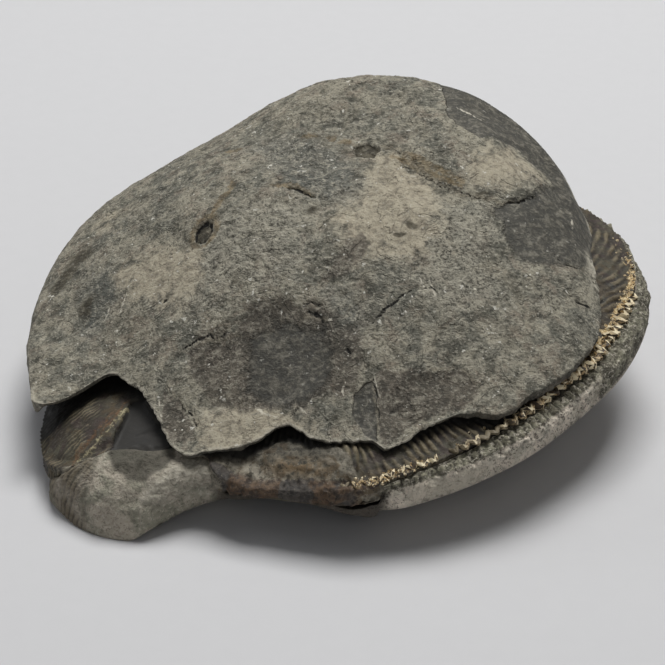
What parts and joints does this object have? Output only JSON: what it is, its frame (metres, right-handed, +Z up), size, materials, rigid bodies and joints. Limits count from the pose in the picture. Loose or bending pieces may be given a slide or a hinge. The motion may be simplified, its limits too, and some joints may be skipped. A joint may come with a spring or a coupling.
{
  "type": "fossil ammonite",
  "caption": "Fossil ammonite with a ribbed brown whorl and cord-like golden keel, partly covered by its split grey stone nodule.",
  "frame": {"origin": "middle of the footprint, on the surface that the nodule lies on", "axes": "+X along the longest side, to the right of the broken front; +Y to the back; +Z up"},
  "size_m": [0.094, 0.079, 0.0407],
  "materials": {
    "lid_stone": null,
    "fossil_shell": "worn brown and golden fossil shell with a low sheen, over a dark stone fill",
    "base_stone": "rough mottled grey and pinkish mudstone, paler at its broken edges"
  },
  "bodies": {
    "root": {"nodule_lid": "lid_stone", "ammonite": "fossil_shell", "nodule_base": "base_stone"}
  },
  "joints": []
}
